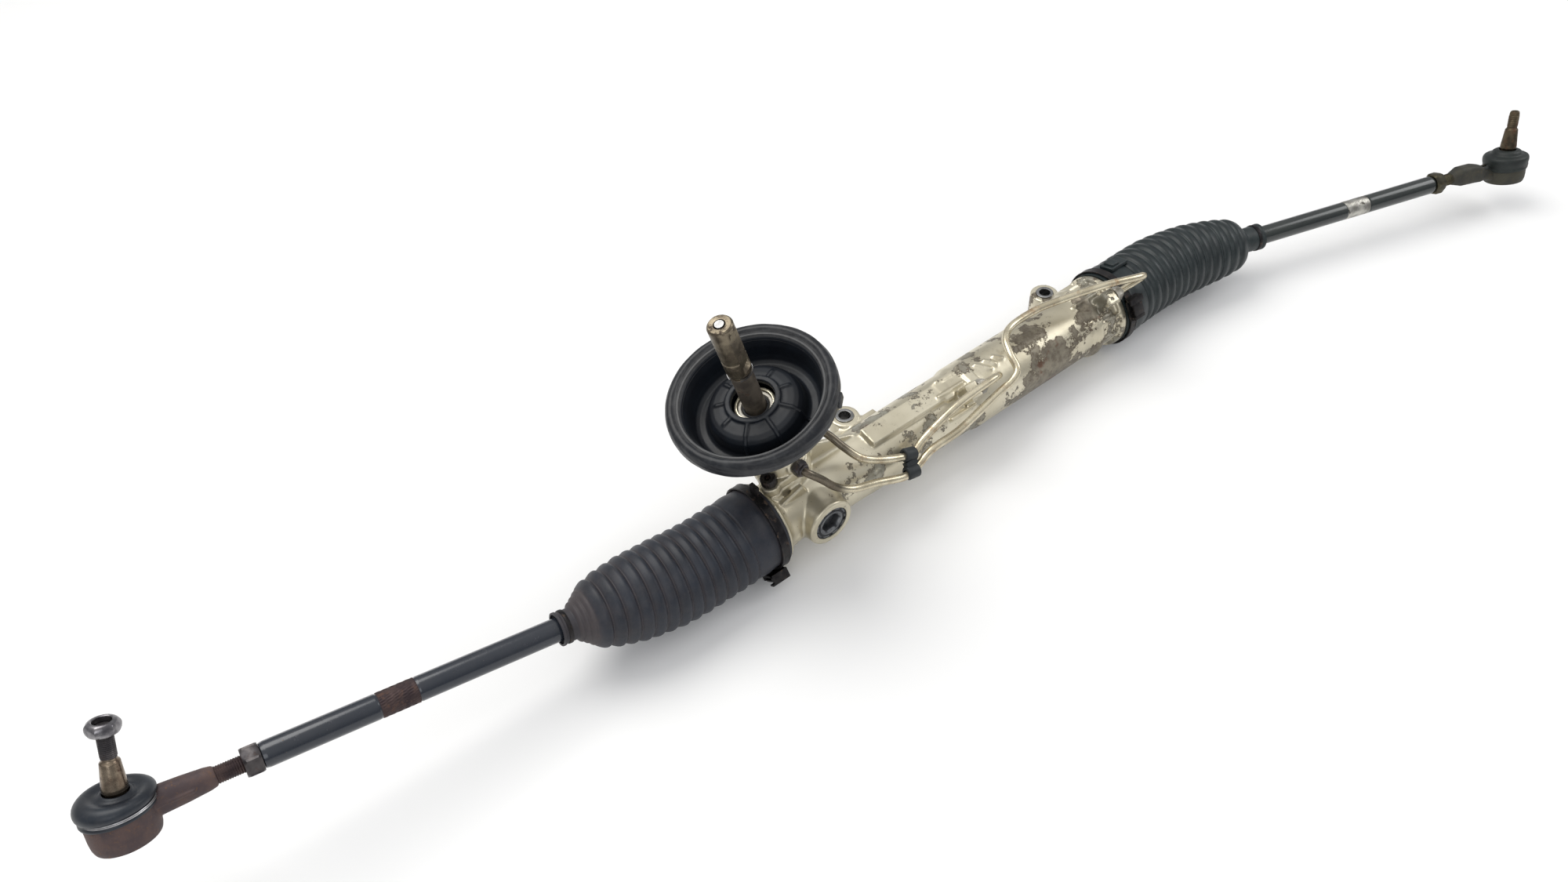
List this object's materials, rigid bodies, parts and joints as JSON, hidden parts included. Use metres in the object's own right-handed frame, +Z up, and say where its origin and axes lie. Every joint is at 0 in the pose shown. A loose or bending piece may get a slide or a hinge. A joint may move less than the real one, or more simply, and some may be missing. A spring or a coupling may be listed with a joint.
{
  "type": "power steering rack and pinion",
  "caption": "Hydraulic power-steering rack and pinion with tie rods, ball joints, bellows boots, bulkhead dish and bent transfer pipes.",
  "frame": {"origin": "where the pinion crosses the rack's axis, on the rack's axis", "axes": "+X along the rack from the pinion end to the far end, +Z up towards the input shaft, +Y towards the mounting lugs"},
  "size_m": [1.4079, 0.2317, 0.2511],
  "materials": {
    "painted_aluminium": "champagne silver paint over cast aluminium, flaked",
    "ground_steel": "ground steel",
    "dark_steel": "dull dark steel",
    "rusty_forging": "forged steel with brown surface rust",
    "olive_forging": "dark olive coated forging",
    "black_rod": "gloss blue-black coating",
    "boot_rubber": "matt black rubber",
    "dish_plastic": "moulded black plastic",
    "pipe_steel": "cream silver plated pipe with brown stains",
    "seat_plastic": "off-white acetal",
    "bearing_bronze": "sintered bronze"
  },
  "bodies": {
    "housing": {"pinion_housing": "painted_aluminium", "cylinder_tube": "painted_aluminium", "valve_cover": "painted_aluminium", "cover_bolt_front": "dark_steel", "cover_bolt_rear": "dark_steel", "pinion_bottom_cap": "ground_steel", "pinion_ball_bearing": "ground_steel", "pinion_needle_bearing": "ground_steel", "shaft_seal": "boot_rubber", "rack_yoke": "bearing_bronze", "yoke_spring": "ground_steel", "yoke_plug": "dark_steel", "rack_bushing": "bearing_bronze", "rack_seal": "boot_rubber", "bulkhead_dish": "dish_plastic", "bulkhead_rim": "boot_rubber", "pipe_to_far_port": "pipe_steel", "pipe_to_near_port": "pipe_steel", "pipe_nut_valve_front": "ground_steel", "pipe_nut_valve_rear": "ground_steel", "pipe_nut_near_port": "ground_steel", "pipe_nut_far_port": "ground_steel", "pipe_clip": "boot_rubber", "mount_sleeve_left": "ground_steel", "mount_sleeve_right": "ground_steel", "boot_left": "boot_rubber", "boot_right": "boot_rubber", "boot_clamp_left": "dark_steel", "boot_clamp_right": "dark_steel"},
    "rack": {"rack_bar": "ground_steel", "piston": "dark_steel", "inner_joint_housing_left": "dark_steel", "inner_joint_housing_right": "dark_steel"},
    "pinion": {"pinion_gear": "ground_steel", "torsion_bar": "ground_steel"},
    "input_shaft": {"input_shaft": "dark_steel", "shaft_circlip": "ground_steel"},
    "inner_seat_left": {"inner_ball_seat_left": "seat_plastic"},
    "inner_pad_left": {"inner_thrust_pad_left": "seat_plastic", "boot_clip_left": "dark_steel"},
    "tie_rod_left": {"tie_rod_left": "black_rod", "locknut_left": "dark_steel", "tie_rod_end_left": "rusty_forging", "cup_cover_left": "rusty_forging", "dust_boot_left": "boot_rubber", "dust_boot_ring_left": "ground_steel"},
    "outer_seat_left": {"outer_ball_seat_left": "seat_plastic"},
    "stud_left": {"ball_stud_left": "ground_steel", "stud_nut_left": "ground_steel"},
    "inner_seat_right": {"inner_ball_seat_right": "seat_plastic"},
    "inner_pad_right": {"inner_thrust_pad_right": "seat_plastic", "boot_clip_right": "dark_steel"},
    "tie_rod_right": {"tie_rod_right": "black_rod", "locknut_right": "dark_steel", "tie_rod_end_right": "olive_forging", "cup_cover_right": "olive_forging", "dust_boot_right": "boot_rubber", "dust_boot_ring_right": "ground_steel"},
    "outer_seat_right": {"outer_ball_seat_right": "seat_plastic"},
    "stud_right": {"ball_stud_right": "ground_steel"}
  },
  "joints": [
    {"name": "rack_slide", "type": "slide", "parent": "housing", "child": "rack", "axis": [1, 0, 0], "range_m": [-0.0795, 0.0605], "deforming": ["boot_left", "boot_right"]},
    {"name": "pinion_spin", "type": "hinge", "parent": "housing", "child": "pinion", "pos_m": [0, 0.01447, 0], "axis": [-0.2521, 0, 0.9677], "range_deg": [-590, 455]},
    {"name": "torsion_twist", "type": "hinge", "parent": "pinion", "child": "input_shaft", "pos_m": [0, 0.01447, 0], "axis": [-0.2521, 0, 0.9677], "range_deg": [-4, 4], "stiffness_Nm_per_rad": 70},
    {"name": "inner_yaw_left", "type": "hinge", "parent": "rack", "child": "inner_seat_left", "pos_m": [-0.126, 0, 0], "axis": [0, 0, 1], "range_deg": [-17.9, 26.1]},
    {"name": "inner_pitch_left", "type": "hinge", "parent": "inner_seat_left", "child": "inner_pad_left", "pos_m": [-0.126, 0, 0], "axis": [0.071, 0.9975, 0], "range_deg": [-26.8, 7.2]},
    {"name": "tie_rod_roll_left", "type": "hinge", "parent": "inner_pad_left", "child": "tie_rod_left", "pos_m": [-0.126, 0, 0], "axis": [-0.983, 0.07, 0.17], "continuous": true},
    {"name": "outer_swivel_left", "type": "hinge", "parent": "tie_rod_left", "child": "outer_seat_left", "pos_m": [-0.51132, 0.02744, 0.06664], "axis": [0.1835, 0.4264, 0.8857], "continuous": true},
    {"name": "outer_tilt_left", "type": "hinge", "parent": "outer_seat_left", "child": "stud_left", "pos_m": [-0.51132, 0.02744, 0.06664], "axis": [0.324, 0.8244, -0.464], "range_deg": [-34.3, 15.7], "deforming": ["dust_boot_left"]},
    {"name": "inner_yaw_right", "type": "hinge", "parent": "rack", "child": "inner_seat_right", "pos_m": [0.463, 0, 0], "axis": [0, 0, 1], "range_deg": [-3.8, 40.2]},
    {"name": "inner_pitch_right", "type": "hinge", "parent": "inner_seat_right", "child": "inner_pad_right", "pos_m": [0.463, 0, 0], "axis": [-0.312, -0.9501, 0], "range_deg": [-17.9, 16.1]},
    {"name": "tie_rod_roll_right", "type": "hinge", "parent": "inner_pad_right", "child": "tie_rod_right", "pos_m": [0.463, 0, 0], "axis": [0.95, -0.312, 0.015], "continuous": true},
    {"name": "outer_swivel_right", "type": "hinge", "parent": "tie_rod_right", "child": "outer_seat_right", "pos_m": [0.84679, -0.12604, 0.00606], "axis": [0.0855, 0.3059, 0.9482], "continuous": true},
    {"name": "outer_tilt_right", "type": "hinge", "parent": "outer_seat_right", "child": "stud_right", "pos_m": [0.84679, -0.12604, 0.00606], "axis": [0.469, 0.8273, -0.3092], "range_deg": [-29.2, 20.8], "deforming": ["dust_boot_right"]}
  ],
  "couplings": [
    {"joint": "pinion_spin", "follows": "rack_slide", "rad_per_m": 127.33}
  ]
}
